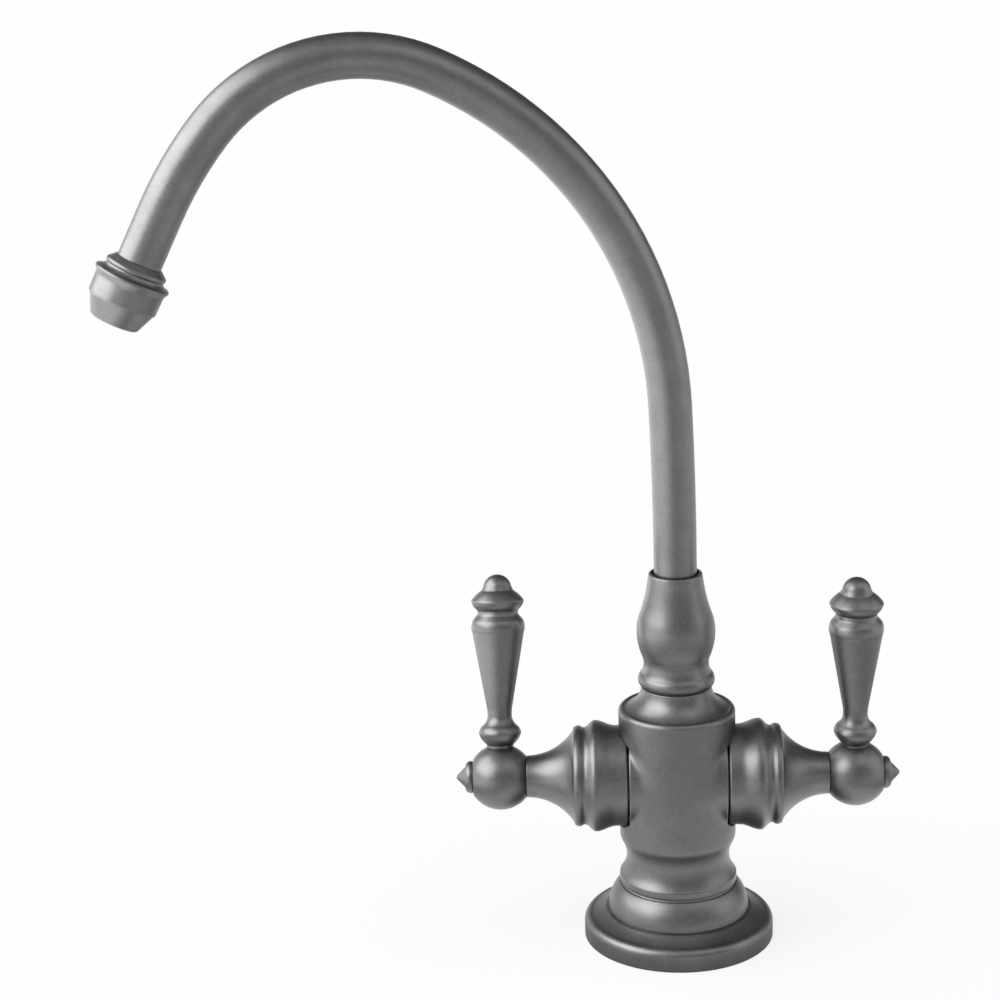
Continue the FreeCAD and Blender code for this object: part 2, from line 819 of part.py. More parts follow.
def rotating_disc():
    """Ceramic disc that turns with the stem. Its ports lie between the fixed disc's when closed."""
    end = rotating_disc_start + disc_height
    disc = rod(disc_radius, rotating_disc_start, end).cut(port_pair(rotating_disc_start, end))
    disc.rotate(Vector(0, 0, 0), Vector(0, 0, 1), 90)
    return disc


def stem():
    """Stem: a driver that turns the disc, a round shaft and a square end with a tapped hole."""
    driver = rod(disc_radius, driver_start, driver_end)
    driver_ports = port_pair(driver_start, driver_end)
    turned = Part.makeCompound(driver_ports)
    turned.rotate(Vector(0, 0, 0), Vector(0, 0, 1), 90)
    driver = driver.cut(turned)
    shaft = rod(stem_radius, driver_start, ball_inner_station)
    square = square_bar(stem_square, ball_inner_station, square_end_station)
    square = square.common(rod(stem_radius - running_gap, ball_inner_station, square_end_station))
    piece = driver.fuse([shaft, square])
    groove_floor = stem_radius - clip_groove_depth
    clip_groove = ring(stem_radius + 1, groove_floor, clip_start, clip_start + clip_thickness)
    tapped = rod(screw_radius + running_gap, square_end_station - screw_grip - 1, square_end_station)
    return piece.cut([clip_groove, tapped]).removeSplitter()


def stem_seal():
    """Round seal between the stem and the cartridge, held in the cartridge's groove."""
    middle = stem_radius + stem_ring_wire_radius + running_gap
    return wire_ring(middle, stem_ring_wire_radius, stem_ring_station())


def stem_clip():
    """Open spring clip that keeps the stem in the cartridge."""
    clip = ring(clip_radius, stem_radius - clip_groove_depth, clip_start, clip_start + clip_thickness)
    corner = Vector(0, 1 - stem_radius, clip_start)
    mouth = Part.makeBox(clip_radius + 1, 2 * stem_radius - 2, clip_thickness, corner)
    return clip.cut(mouth)


def ball_hub():
    """Ball on the stem's square end, faced at both ends and on top where the lever seats."""
    ball = Part.makeSphere(ball_radius, Vector(0, 0, ball_station))
    ball = ball.common(rod(ball_radius + 1, ball_inner_station, ball_outer_station))
    square = square_bar(stem_square + 2 * running_gap, ball_inner_station, square_end_station + free_gap)
    lever_seat = lever_seat_height()
    top = rod(lever_seat_radius + fixed_gap, lever_seat, ball_radius + 1)
    stud_hole = rod(lever_stud_radius + running_gap, lever_seat - lever_stud_length - free_gap, lever_seat)
    tools = [square]
    tools.append(rod(screw_radius + free_gap, square_end_station, ball_outer_station))
    tools.append(rod(screw_head_radius + free_gap, screw_head_seat, ball_outer_station))
    cap_socket = ball_outer_station - cap_spigot_length - fixed_gap
    tools.append(rod(cap_spigot_radius + fixed_gap, cap_socket, ball_outer_station))
    for tool in (top, stud_hole):
        # The arm's upward side is -X before a piece is laid on it.
        upright = tool.copy()
        upright.rotate(Vector(0, 0, 0), Vector(0, 1, 0), -90)
        upright.translate(Vector(0, 0, ball_station))
        tools.append(upright)
    return ball.cut(tools).removeSplitter()


def lever_seat_height():
    """Height over the ball's centre of the flat where the lever seats."""
    return math.sqrt(ball_radius * ball_radius - lever_seat_radius * lever_seat_radius) - 0.1


def hub_screw():
    """Socket-head screw that holds the ball on the stem."""
    head_end = screw_head_seat + screw_head_height
    screw = rod(screw_radius, square_end_station - screw_grip, screw_head_seat)
    screw = screw.fuse(rod(screw_head_radius, screw_head_seat, head_end))
    drive = hexagon(screw_drive_across_flats, head_end - screw_drive_depth, head_end + 1)
    return screw.cut(drive).removeSplitter()


def hub_cap():
    """Button that covers the screw: a spigot, a flange and a pointed tip."""
    start = ball_outer_station
    flange_end = start + cap_flange_height
    tip_end = flange_end + cap_tip_height
    outline = Section(0, start - cap_spigot_length)
    outline.line(cap_spigot_radius, start - cap_spigot_length)
    outline.line(cap_spigot_radius, start)
    outline.line(cap_radius - 0.2, start)
    outline.arc((cap_radius, start + cap_flange_height / 2), (cap_radius - 0.9, flange_end))
    outline.line(cap_cone_radius, flange_end + 0.1)
    outline.line(cap_tip_radius, tip_end - 0.5)
    return outline.dome(tip_end).turned()


def lever():
    """Lever: stud, foot, bead, neck and a grip that swells upwards to a round shoulder."""
    seat = lever_seat_height()
    bead = lever_bead_height
    neck = lever_neck_height
    grip = lever_grip_height
    top = lever_top_height
    hole = finial_stud_radius + running_gap
    outline = Section(0, seat - lever_stud_length)
    outline.line(lever_stud_radius, seat - lever_stud_length)
    outline.line(lever_stud_radius, seat)
    outline.line(lever_seat_radius, seat)
    outline.arc((lever_seat_radius - 0.1, seat + 0.5), (lever_seat_radius + 0.15, seat + 1.1))
    outline.arc((lever_bead_radius - 0.75, bead - 1.9), (lever_bead_radius - 0.1, bead - 0.4))
    outline.arc((lever_bead_radius, bead), (lever_bead_radius - 0.1, bead + 0.4))
    outline.arc((lever_bead_radius - 0.45, bead + 1.2), (lever_bead_radius - 1.3, bead + 2.1))
    outline.arc((lever_neck_radius + 0.25, neck - 1.9), (lever_neck_radius, neck))
    outline.arc((lever_neck_radius + 0.03, neck + 0.9), (lever_neck_radius + 0.15, neck + 1.8))
    outline.line(lever_grip_radius - 0.25, grip - 2.0)
    outline.arc((lever_grip_radius, grip - 0.2), (lever_grip_radius - 0.45, grip + 1.4))
    outline.arc((lever_grip_radius - 0.95, grip + 2.0), (lever_top_radius + 0.25, top - 1.25))
    outline.line(lever_top_radius, top - 0.75)
    outline.line(lever_top_radius, top)
    outline.line(hole, top)
    outline.line(hole, top - finial_stud_length - free_gap)
    outline.line(0, top - finial_stud_length - free_gap)
    return outline.turned()


def lever_finial():
    """Finial that screws into the lever's top: a disc with a keen edge and a domed tip."""
    base = lever_top_height
    disc = base + finial_disc_rise
    dome = base + finial_dome_rise
    slope = finial_dome_rise - finial_disc_rise
    outline = Section(0, base - finial_stud_length)
    outline.line(finial_stud_radius, base - finial_stud_length)
    outline.line(finial_stud_radius, base)
    outline.line(lever_top_radius, base)
    outline.line(lever_top_radius + 0.1, base + 0.3)
    outline.arc((finial_disc_radius - 0.7, disc - 1.5), (finial_disc_radius - 0.12, disc - 0.35))
    outline.arc((finial_disc_radius, disc), (finial_disc_radius - 0.12, disc + 0.4))
    outline.arc(
        ((finial_disc_radius + finial_dome_radius) / 2 + 0.2, disc + slope * 0.46),
        (finial_dome_radius + 0.45, dome - slope * 0.27),
    )
    outline.arc((finial_dome_radius + 0.2, dome - slope * 0.14), (finial_dome_radius - 0.05, dome))
    return outline.dome(base + finial_rise).turned()


def on_cold_ball(shape):
    """Stand a piece made along the lever upright on the cold ball."""
    placed = shape.copy()
    placed.translate(Vector(ball_station, 0, handle_height))
    return placed


def leaning(shape, lean):
    """A copy turned about the handles' axis, its top towards the user."""
    turned = shape.copy()
    turned.rotate(Vector(0, 0, handle_height), Vector(1, 0, 0), lean)
    return turned


def handle_pieces(lean):
    """Every piece that turns with the cold lever, by name, laid on the cold arm."""
    pieces = {}
    for name, make in (
        ("stem", stem),
        ("rotating_disc", rotating_disc),
        ("stem_clip", stem_clip),
        ("ball_hub", ball_hub),
        ("hub_screw", hub_screw),
        ("hub_cap", hub_cap),
    ):
        pieces[name] = leaning(on_cold_arm(make()), lean)
    pieces["lever"] = leaning(on_cold_ball(lever()), lean)
    pieces["lever_finial"] = leaning(on_cold_ball(lever_finial()), lean)
    return pieces


def arm_pieces(lean):
    """Every fixed piece of the cold arm, by name. The lean is where the cartridge's thread stops it."""
    pieces = {"bonnet": on_cold_arm(bonnet())}
    for name, make in (
        ("cartridge_body", cartridge_body),
        ("cartridge_seal", cartridge_seal),
        ("fixed_disc", fixed_disc),
        ("stem_seal", stem_seal),
    ):
        pieces[name] = leaning(on_cold_arm(make()), lean)
    tail, tail_end = inlet_tail()
    pieces["inlet_tail"] = tail
    pieces["inlet_connector"] = inlet_connector(tail_end)
    return pieces


def spout_pieces():
    """Every piece that swings with the spout, by name, at the photographed angle."""
    tube, end, turn = spout_tube()
    pieces = {
        "spout_tube": tube,
        "spout_ferrule": spout_ferrule(),
        "spout_seals": spout_seals(),
    }
    flow = Vector(math.sin(turn), 0, math.cos(turn))
    ring_start = end - flow * tube_in_outlet
    for name, make in (
        ("outlet_ring", outlet_ring),
        ("aerator_housing", aerator_housing),
        ("aerator_gasket", aerator_gasket),
        ("aerator_screen", aerator_screen),
        ("aerator_insert", aerator_insert),
    ):
        piece = make()
        piece.rotate(Vector(0, 0, 0), Vector(0, 1, 0), math.degrees(turn))
        piece.translate(ring_start)
        pieces[name] = piece
    for piece in pieces.values():
        piece.rotate(Vector(0, 0, 0), Vector(0, 0, 1), 180 + spout_swing)
    return pieces


def all_pieces():
    """Every node's solid by the node's name."""
    pieces = {
        "base_flange": base_flange(),
        "base_gasket": base_gasket(),
        "valve_body": valve_body(),
        "threaded_shank": threaded_shank(),
        "deck_washer_rubber": deck_washer_rubber(),
        "deck_washer_steel": deck_washer_steel(),
        "mounting_nut": mounting_nut(),
        "spout_nut": spout_nut(),
        "thrust_washer": thrust_washer(),
    }
    pieces.update(spout_pieces())
    for side, lean in (("cold", cold_lever_lean), ("hot", hot_lever_lean)):
        arm = arm_pieces(lean)
        arm.update(handle_pieces(lean))
        for name, shape in arm.items():
            if side == "hot":
                shape = shape.mirror(Vector(0, 0, 0), Vector(1, 0, 0))
            pieces[side + "_" + name] = shape
    return pieces


os.makedirs("parts", exist_ok=True)
for node, solid in all_pieces().items():
    solid.exportStep("parts/" + node + ".step")
    state = "valid" if solid.isValid() else "NOT VALID"
    print(node, len(solid.Solids), "solid", round(solid.Volume, 1), "mm3", state)
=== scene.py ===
import json
import math

import bpy
import numpy as np
from mathutils import Matrix, Vector


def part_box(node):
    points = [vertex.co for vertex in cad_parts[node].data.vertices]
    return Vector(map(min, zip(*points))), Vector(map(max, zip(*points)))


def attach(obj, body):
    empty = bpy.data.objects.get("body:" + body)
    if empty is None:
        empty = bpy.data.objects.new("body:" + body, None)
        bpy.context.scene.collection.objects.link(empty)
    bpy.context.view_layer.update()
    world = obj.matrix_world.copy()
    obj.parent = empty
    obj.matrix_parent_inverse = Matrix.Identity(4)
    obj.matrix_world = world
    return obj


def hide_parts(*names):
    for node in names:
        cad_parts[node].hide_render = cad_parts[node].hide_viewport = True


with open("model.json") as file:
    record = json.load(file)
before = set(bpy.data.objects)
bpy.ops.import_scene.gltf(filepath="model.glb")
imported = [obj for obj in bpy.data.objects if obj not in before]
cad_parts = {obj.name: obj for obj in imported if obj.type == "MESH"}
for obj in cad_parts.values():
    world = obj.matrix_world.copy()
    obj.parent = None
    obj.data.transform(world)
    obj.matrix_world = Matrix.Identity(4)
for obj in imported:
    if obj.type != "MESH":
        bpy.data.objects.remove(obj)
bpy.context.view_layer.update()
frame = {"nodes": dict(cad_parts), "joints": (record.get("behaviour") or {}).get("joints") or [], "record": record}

# Lengths are metres, as in the frame. One millimetre is written as MM.
MM = 0.001

# Threads: the crests lie where the plain CAD cylinders have their outsides.
SHANK_CREST = 14.0 * MM
SHANK_BORE = 11.0 * MM
SHANK_PITCH = 1.5 * MM
CONNECTOR_CREST = 7.14 * MM
CONNECTOR_PITCH = 1.06 * MM
CONNECTOR_THREAD_LENGTH = 13.0 * MM
CONNECTOR_ACROSS_FLATS = 16.0 * MM
CONNECTOR_SOCKET = 4.81 * MM
CONNECTOR_BORE = 3.86 * MM
CONNECTOR_STOP = 3.0 * MM
HEXAGON_ROWS = 25
CHAMFER_SLOPE = math.tan(math.radians(60))
# A bonnet's outline on its arm: station from the body's axis and radius, in millimetres, where
# the outline turns between rising and falling.
MOULDING = np.array([
    (14.7, 14.45), (17.6, 14.4), (23.5, 15.95), (26.7, 13.9), (28.1, 14.45),
])
EDGE_WIDTH = 1.6 * MM
EDGE_DROP = 0.9 * MM
COLLAR_STATION = 14.3 * MM
TRUMPET_STATION = 29.7 * MM
TRUMPET_RADIUS = 13.3 * MM
NECK_RADIUS = 6.0 * MM
NECK_BORE = 4.75 * MM
HOLLOW_RADIUS = 6.2 * MM
HOLLOW_STATION = 34.45 * MM
SOCKET_RADIUS = 11.9 * MM
SOCKET_STATION = 29.5 * MM
# The collar's end is this much smaller than the outline's first radius.
COLLAR_EASE = 0.4 * MM
# How many rows each run of the outline has.
MOULDING_ROWS = 10
EDGE_ROWS = 8
TRUMPET_ROWS = 40
# The body's barrel and the round land that each bonnet's collar meets on it.
BARREL_RADIUS = 16.65 * MM
LAND_RADIUS = 14.4 * MM
LAND_STATION = 13.85 * MM
LAND_BLEND = 2.0 * MM
LAND_SHORTEST = 1 * MM
LAND_CLEARANCE = 0.1 * MM
LAND_ROWS = 32
# The land stands out from its cylinder by at most this many blends.
LAND_LIMIT = 1.2
# How far the land goes on under the barrel's wall, and the length that sets how fast it sinks.
OVERLAP = 3 * MM
OVERLAP_SINK = 10 * MM
OVERLAP_ROWS = 7
# Straight above and below the arm the barrel's wall is never met, so the cosine of the turn is
# held above this.
LEAST_COSINE = 0.05
# The flange: its spigot and gasket recess below, and the sloping land that the body stands on.
FLANGE_BORE = 14.3 * MM
FLANGE_RADIUS = 27.35 * MM
FLANGE_SIDE = 4 * MM
FLANGE_ROUNDING = 2.3 * MM
FLANGE_SEAT_RADIUS = 20.9 * MM
SPIGOT_RADIUS = 17 * MM
RECESS_INNER = 18.8 * MM
RECESS_OUTER = 25.1 * MM
RECESS_DEPTH = 1.6 * MM
# Four times the depth of the sloping land's hollow at its middle.
FLANGE_SAG = 0.6 * MM
FLANGE_ROWS = 12
FLANGE_COLUMNS = 192
ARM_COLUMNS = 144
# A 60 degree V with rounded crests and roots is this share of its pitch deep.
DEPTH_SHARE = 0.61
ROWS_PER_PITCH = 8
THREAD_COLUMNS = 72
# An edge that turns by more than this stays sharp.
CREASE = math.radians(35)
# The camera, fitted to the object's outline in the photograph. Sensor and lens are millimetres.
CAMERA_PLACE = (-20.25 * MM, -648.1 * MM, 311.9 * MM)
CAMERA_PITCH = math.radians(15.533)
CAMERA_ROLL = math.radians(1.688)
CAMERA_YAW = math.radians(2.506)
SENSOR_WIDTH = 36.0
FOCAL_LENGTH = 86.91
NEAREST = 0.01
FARTHEST = 50.0
# The floor reaches this far each way. It lies a little under the deck's level, so that its face
# and the flange's underside don't coincide.
FLOOR_REACH = 8.0
FLOOR_GAP = 0.1 * MM
FLOOR_COLOUR = "#b4b4b4"
FLOOR_GLOW = 0.76
# Painted light and shade on the floor, seen only in the metal: what the floor's glow gains
# there. A row says how its place is measured, away from the body's axis or across to the right,
# between which metres it changes, and the gain on each side.
FLOOR_PAINTED_POOLS = (
    ("away", 0.03, 0.055, -0.4, 0.5),
    ("away", 0.08, 0.14, 0.0, -0.95),
    ("away", 0.19, 0.32, 0.0, 0.55),
    ("away", 0.5, 0.9, 0.0, -0.55),
    ("across", -0.12, -0.26, 0.0, 1.8),
    ("across", 0.08, 0.3, 0.0, 0.4),
)
# The room is white, with strength 1. BACK is what the shade behind leaves of it where it is
# deepest, and FRONT is what is left in front. The rest are parts of a direction's unit vector:
# where each shade starts and is full, and how much of the part to the right is added to lean it.
BACK = 0.15
FRONT = 0.45
SHADE_LEAN = 0.4
SHADE_START = 0.02
SHADE_FULL = 0.42
BEHIND_START = -0.7
BEHIND_FULL = 0.8
FRONT_LEAN = -0.3
FRONT_START = -0.1
FRONT_FULL = -0.75
# The lamps face this height on the body's axis.
AIM_HEIGHT = 60 * MM


def linear(code, alpha=1.0):
    """An sRGB hex colour as the linear colour that shaders take."""
    channels = [int(code[i:i + 2], 16) / 255 for i in (1, 3, 5)]
    curve = [c / 12.92 if c <= 0.04045 else ((c + 0.055) / 1.055) ** 2.4 for c in channels]
    return (*curve, alpha)


def per_metre(size):
    """The scale of a noise whose blotches are about this many millimetres across."""
    return 1.0 / (size * MM)


def add(tree, kind, settings=None, **inputs):
    """A node with its settings. An input is a value, or the output socket that feeds it."""
    node = tree.nodes.new(kind)
    for name, value in (settings or {}).items():
        setattr(node, name, value)
    for name, value in inputs.items():
        numbered = name[0] == "i" and name[1:].isdigit()
        socket = node.inputs[int(name[1:])] if numbered else node.inputs[name.replace("_", " ")]
        if isinstance(value, bpy.types.NodeSocket):
            tree.links.new(value, socket)
        else:
            socket.default_value = value
    return node


def material(name):
    """An empty node material and its tree, ready for a shader."""
    made = bpy.data.materials.new(name)
    made.use_nodes = True
    made.node_tree.nodes.clear()
    return made, made.node_tree


def antique_pewter():
    """Antique pewter: brass plated grey, darkened with oxide, then tumbled with fine grit.

    It gives the eye a broad soft sheen over a faint mottle. Corners near a wall are darker: partly
    the oxide film that the tumbling doesn't reach, partly painted shade. The edges are softly
    rounded and painted paler: partly rubbed wear, partly a painted highlight.
    """
    made, tree = material("antique_pewter")
    place = add(tree, "ShaderNodeTexCoord").outputs["Object"]
    # Clouds of oxide some 7 mm across, mottle under a millimetre, and the grit's own marks.
    cloud = add(tree, "ShaderNodeTexNoise", Vector=place, Scale=per_metre(7.0), Detail=3.0)
    mottle = add(tree, "ShaderNodeTexNoise", Vector=place, Scale=per_metre(0.8), Detail=3.0)
    grit = add(tree, "ShaderNodeTexNoise", Vector=place, Scale=per_metre(0.35), Detail=2.0)
    both = add(tree, "ShaderNodeMix", i0=0.5, i2=cloud.outputs["Fac"], i3=mottle.outputs["Fac"])
    tone = add(tree, "ShaderNodeMapRange", Value=both.outputs[0], From_Min=0.35, From_Max=0.65)
    plate = add(
        tree, "ShaderNodeMix", {"data_type": "RGBA"},
        i0=tone.outputs["Result"], i6=linear("#646464"), i7=linear("#707070"),
    )
    # Where a wall stands within 1 mm the colour darkens: partly the oxide film that stays there,
    # partly painted shade in corners and between parts.
    shelter = add(tree, "ShaderNodeAmbientOcclusion", {"samples": 6}, Distance=1.0 * MM)
    open_unshaded = add(
        tree, "ShaderNodeMapRange", Value=shelter.outputs["AO"], From_Min=0.3, From_Max=0.8,
    )
    # The dark colour #565656 is partly oxide film and partly painted shade.
    oxide_and_shade = add(
        tree, "ShaderNodeMix", {"data_type": "RGBA"},
        i0=open_unshaded.outputs["Result"], i6=linear("#565656"), i7=plate.outputs[2],
    )
    # An edge is where the normal, averaged over 0.6 mm, turns away from the surface's own.
    rounded = add(tree, "ShaderNodeBevel", {"samples": 6}, Radius=0.6 * MM)
    surface = add(tree, "ShaderNodeNewGeometry")
    agree = add(
        tree, "ShaderNodeVectorMath", {"operation": "DOT_PRODUCT"},
        i0=rounded.outputs["Normal"], i1=surface.outputs["Normal"],
    )
    # Edges are painted paler: partly rubbed wear, partly a painted highlight on the rounding.
    worn_and_glint = add(
        tree, "ShaderNodeMapRange", Value=agree.outputs["Value"],
        From_Min=0.98, From_Max=0.85, To_Min=0.0, To_Max=0.6,
    )
    rubbed_and_glint = add(
        tree, "ShaderNodeMix", {"data_type": "RGBA"},
        i0=worn_and_glint.outputs["Result"], i6=oxide_and_shade.outputs[2], i7=linear("#989898"),
    )
    rough = add(
        tree, "ShaderNodeMapRange", Value=mottle.outputs["Fac"],
        From_Min=0.3, From_Max=0.7, To_Min=0.38, To_Max=0.44,
    )
    grain = add(
        tree, "ShaderNodeBump", Strength=0.2, Distance=0.02 * MM,
        Height=grit.outputs["Fac"], Normal=rounded.outputs["Normal"],
    )
    metal = add(
        tree, "ShaderNodeBsdfPrincipled",
        Base_Color=rubbed_and_glint.outputs[2], Metallic=1.0, Roughness=rough.outputs["Result"],
        Normal=grain.outputs["Normal"],
    )
    add(tree, "ShaderNodeOutputMaterial", Surface=metal.outputs["BSDF"])
    return made


def machined_brass():
    """Free-cutting brass, turned on a lathe and left unplated: warm, with fine cutting marks."""
    made, tree = material("machined_brass")
    place = add(tree, "ShaderNodeTexCoord").outputs["Object"]
    cloud = add(tree, "ShaderNodeTexNoise", Vector=place, Scale=per_metre(4.0), Detail=3.0)
    marks = add(tree, "ShaderNodeTexNoise", Vector=place, Scale=per_metre(0.25), Detail=2.0)
    tone = add(
        tree, "ShaderNodeMix", {"data_type": "RGBA"},
        i0=cloud.outputs["Fac"], i6=linear("#c9a45c"), i7=linear("#b98f49"),
    )
    rough = add(
        tree, "ShaderNodeMapRange", Value=cloud.outputs["Fac"],
        From_Min=0.3, From_Max=0.7, To_Min=0.22, To_Max=0.34,
    )
    cut = add(
        tree, "ShaderNodeBump", Strength=0.2, Distance=0.02 * MM, Height=marks.outputs["Fac"],
    )
    metal = add(
        tree, "ShaderNodeBsdfPrincipled",
        Base_Color=tone.outputs[2], Metallic=1.0, Roughness=rough.outputs["Result"],
        Normal=cut.outputs["Normal"],
    )
    add(tree, "ShaderNodeOutputMaterial", Surface=metal.outputs["BSDF"])
    return made


def drawn_copper():
    """Soft copper tube, drawn through a die: streaks along its length and brown tarnish."""
    made, tree = material("drawn_copper")
    place = add(tree, "ShaderNodeTexCoord").outputs["Object"]
    # The tails run nearly upright, so the streaks are stretched along Z.
    along = add(tree, "ShaderNodeMapping", Vector=place, Scale=(1.0, 1.0, 0.08))
    streaks = add(
        tree, "ShaderNodeTexNoise",
        Vector=along.outputs["Vector"], Scale=per_metre(0.8), Detail=3.0,
    )
    blotch = add(tree, "ShaderNodeTexNoise", Vector=place, Scale=per_metre(9.0), Detail=4.0)
    bright = add(
        tree, "ShaderNodeMix", {"data_type": "RGBA"},
        i0=streaks.outputs["Fac"], i6=linear("#c9805c"), i7=linear("#b97152"),
    )
    tarnish = add(
        tree, "ShaderNodeMapRange", Value=blotch.outputs["Fac"],
        From_Min=0.5, From_Max=0.75, To_Min=0.0, To_Max=0.6,
    )
    tone = add(
        tree, "ShaderNodeMix", {"data_type": "RGBA"},
        i0=tarnish.outputs["Result"], i6=bright.outputs[2], i7=linear("#8a5540"),
    )
    rough = add(
        tree, "ShaderNodeMapRange", Value=blotch.outputs["Fac"],
        From_Min=0.3, From_Max=0.7, To_Min=0.26, To_Max=0.42,
    )
    metal = add(
        tree, "ShaderNodeBsdfPrincipled",
        Base_Color=tone.outputs[2], Metallic=1.0, Roughness=rough.outputs["Result"],
    )
    add(tree, "ShaderNodeOutputMaterial", Surface=metal.outputs["BSDF"])
    return made


def zinc_plated_steel():
    """Stamped steel washer, zinc plated and passivated: bluish grey with a faint spangle."""
    made, tree = material("zinc_plated_steel")
    place = add(tree, "ShaderNodeTexCoord").outputs["Object"]
    spangle = add(tree, "ShaderNodeTexVoronoi", Vector=place, Scale=per_metre(2.5))
    tone = add(
        tree, "ShaderNodeMix", {"data_type": "RGBA"},
        i0=spangle.outputs["Distance"], i6=linear("#b6babf"), i7=linear("#a2a7ae"),
    )
    rough = add(
        tree, "ShaderNodeMapRange", Value=spangle.outputs["Distance"], To_Min=0.3, To_Max=0.4,
    )
    metal = add(
        tree, "ShaderNodeBsdfPrincipled",
        Base_Color=tone.outputs[2], Metallic=1.0, Roughness=rough.outputs["Result"],
    )
    add(tree, "ShaderNodeOutputMaterial", Surface=metal.outputs["BSDF"])
    return made


def stainless_steel():
    """Stainless strip and cold-formed screws: neutral grey with a fine rolled grain."""
    made, tree = material("stainless_steel")
    place = add(tree, "ShaderNodeTexCoord").outputs["Object"]
    rolled = add(tree, "ShaderNodeMapping", Vector=place, Scale=(1.0, 0.1, 1.0))
    grain = add(
        tree, "ShaderNodeTexNoise",
        Vector=rolled.outputs["Vector"], Scale=per_metre(0.2), Detail=2.0,
    )
    tone = add(
        tree, "ShaderNodeMix", {"data_type": "RGBA"},
        i0=grain.outputs["Fac"], i6=linear("#aaaaa8"), i7=linear("#9a9a98"),
    )
    rough = add(
        tree, "ShaderNodeMapRange", Value=grain.outputs["Fac"],
        From_Min=0.3, From_Max=0.7, To_Min=0.22, To_Max=0.32,
    )
    metal = add(
        tree, "ShaderNodeBsdfPrincipled",
        Base_Color=tone.outputs[2], Metallic=1.0, Roughness=rough.outputs["Result"],
    )
    add(tree, "ShaderNodeOutputMaterial", Surface=metal.outputs["BSDF"])
    return made


def nitrile_rubber():
    """Black nitrile rubber, moulded: matt, with a dusting of pale bloom."""
    made, tree = material("nitrile_rubber")
    place = add(tree, "ShaderNodeTexCoord").outputs["Object"]
    bloom = add(tree, "ShaderNodeTexNoise", Vector=place, Scale=per_metre(3.0), Detail=5.0)
    skin = add(tree, "ShaderNodeTexNoise", Vector=place, Scale=per_metre(0.3), Detail=2.0)
    tone = add(
        tree, "ShaderNodeMix", {"data_type": "RGBA"},
        i0=bloom.outputs["Fac"], i6=linear("#1a1a1a"), i7=linear("#2a2a2a"),
    )
    pores = add(
        tree, "ShaderNodeBump", Strength=0.3, Distance=0.03 * MM, Height=skin.outputs["Fac"],
    )
    rubber = add(
        tree, "ShaderNodeBsdfPrincipled",
        Base_Color=tone.outputs[2], Roughness=0.75, Normal=pores.outputs["Normal"],
    )
    add(tree, "ShaderNodeOutputMaterial", Surface=rubber.outputs["BSDF"])
    return made


def lapped_alumina():
    """Alumina ceramic, fired and lapped flat: off-white with a wet-looking shine."""
    made, tree = material("lapped_alumina")
    place = add(tree, "ShaderNodeTexCoord").outputs["Object"]
    fleck = add(tree, "ShaderNodeTexNoise", Vector=place, Scale=per_metre(1.2), Detail=4.0)
    tone = add(
        tree, "ShaderNodeMix", {"data_type": "RGBA"},
        i0=fleck.outputs["Fac"], i6=linear("#eeeae0"), i7=linear("#e2ddd0"),
    )
    ceramic = add(
        tree, "ShaderNodeBsdfPrincipled", Base_Color=tone.outputs[2], Roughness=0.14, IOR=1.76,
    )
    add(tree, "ShaderNodeOutputMaterial", Surface=ceramic.outputs["BSDF"])
    return made


def moulded_acetal():
    """White acetal, injection moulded: slightly waxy, with a satin skin."""
    made, tree = material("moulded_acetal")
    place = add(tree, "ShaderNodeTexCoord").outputs["Object"]
    flow = add(tree, "ShaderNodeTexNoise", Vector=place, Scale=per_metre(5.0), Detail=3.0)
    tone = add(
        tree, "ShaderNodeMix", {"data_type": "RGBA"},
        i0=flow.outputs["Fac"], i6=linear("#e4e4de"), i7=linear("#d9d9d1"),
    )
    plastic = add(
        tree, "ShaderNodeBsdfPrincipled", Base_Color=tone.outputs[2], Roughness=0.38, IOR=1.48,
    )
    add(tree, "ShaderNodeOutputMaterial", Surface=plastic.outputs["BSDF"])
    return made


finishes = {
    "pewter_plate": antique_pewter(),
    "plain_brass": machined_brass(),
    "copper": drawn_copper(),
    "zinc_steel": zinc_plated_steel(),
    "stainless": stainless_steel(),
    "black_rubber": nitrile_rubber(),
    "white_ceramic": lapped_alumina(),
    "white_acetal": moulded_acetal(),
}

for row in frame["record"]["subparts"]:
    node = frame["nodes"][row["node"]]
    node.data.materials.clear()
    node.data.materials.append(finishes[row["material_slot"]])


def threaded(height, low, high, crest, pitch):
    """The radius of a single-start thread at each height, a row, and turn, a column.

    The phase is the height in pitches less the turn in turns, so the ridge climbs one pitch a
    turn. The radius is the crest less a raised cosine of that phase. The ridge fades into the
    root over the last pitch at each end, where the blank is chamfered.
    """
    turn = np.linspace(0, 1, THREAD_COLUMNS, endpoint=False)
    phase = height[:, None] / pitch - turn
    ridge = 0.5 + 0.5 * np.cos(2 * math.pi * phase)
    fade = np.clip(np.minimum(height - low, high - height) / pitch, 0, 1)[:, None]
    return crest - DEPTH_SHARE * pitch * (1 - ridge * fade)


def rows_between(low, high, pitch):
    """Heights along a thread, spaced for its pitch."""
    return np.linspace(low, high, round((high - low) / pitch * ROWS_PER_PITCH) + 1)


def woven(name, x, y, z):
    """A closed mesh from arrays of coordinates, in which rows make a loop and columns another."""
    rows, columns = x.shape
    points = np.stack([x, y, z], axis=-1).reshape(-1, 3)
    here = np.arange(rows * columns).reshape(rows, columns)
    beside = np.roll(here, -1, axis=1)
    above = np.roll(here, -1, axis=0)
    opposite = np.roll(beside, -1, axis=0)
    faces = np.stack([here, beside, opposite, above], axis=-1).reshape(-1, 4)
    mesh = bpy.data.meshes.new(name)
    mesh.from_pydata(points.tolist(), [], faces.tolist())
    mesh.shade_smooth()
    mesh.set_sharp_from_angle(angle=CREASE)
    made = bpy.data.objects.new(name, mesh)
    bpy.context.scene.collection.objects.link(made)
    return made


